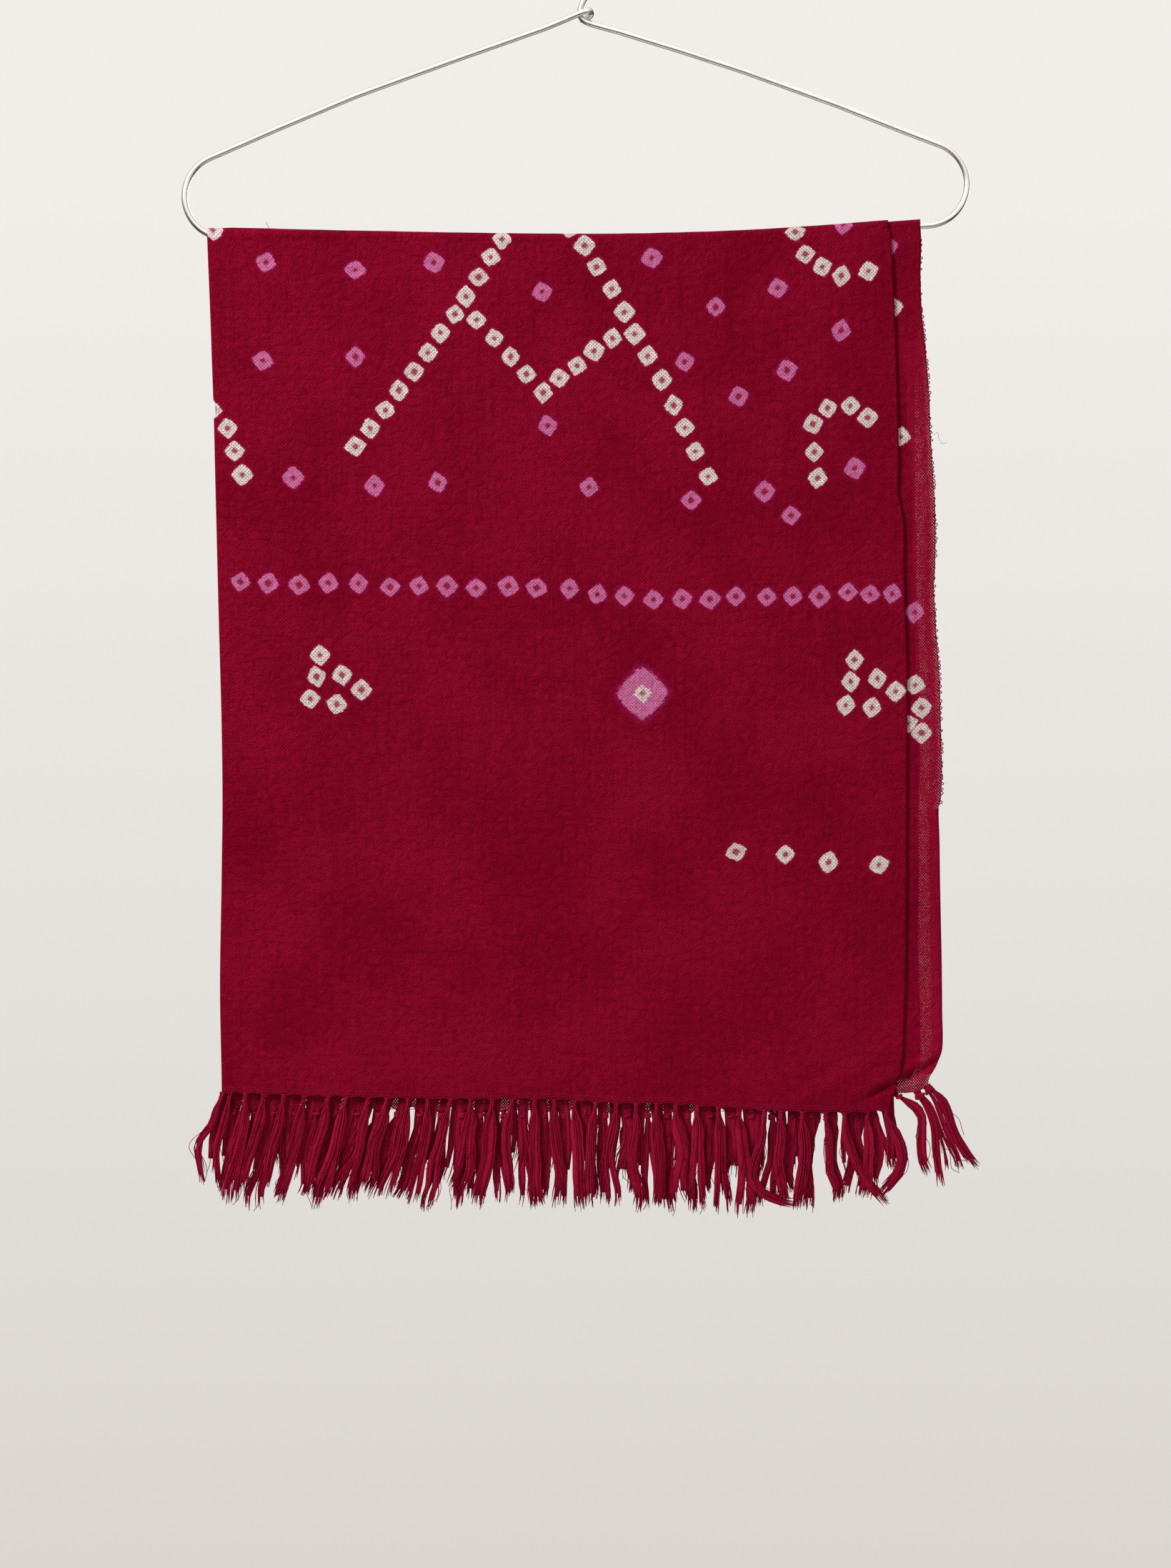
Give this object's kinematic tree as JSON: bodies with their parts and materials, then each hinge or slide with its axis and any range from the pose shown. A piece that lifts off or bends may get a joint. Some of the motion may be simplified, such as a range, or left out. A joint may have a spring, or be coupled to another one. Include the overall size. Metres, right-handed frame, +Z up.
{
  "type": "folded dupatta stole on a wire hanger",
  "caption": "Fine wool dupatta stole with tie-dyed dots and a knotted fringe, folded and hung flat over the bar of a plain wire hanger.",
  "frame": {"origin": "underside of the top of the hanger's hook, where a rail carries it", "axes": "+X to the viewer's right along the bar, -Y towards the viewer, +Z up"},
  "size_m": [0.4117, 0.013, 0.6936],
  "materials": {
    "steel_wire": "bright drawn wire",
    "dyed_wool": "fine twill wool, crimson, slightly crinkled",
    "fringe_yarn": "soft wool yarn, knotted"
  },
  "bodies": {
    "root": {"hanger_wire": "steel_wire", "outer_layer": "dyed_wool", "under_layer": "dyed_wool", "inner_layers": "dyed_wool", "fringe_outer": "fringe_yarn", "fringe_under": "fringe_yarn", "fringe_inner": "fringe_yarn"}
  },
  "joints": []
}
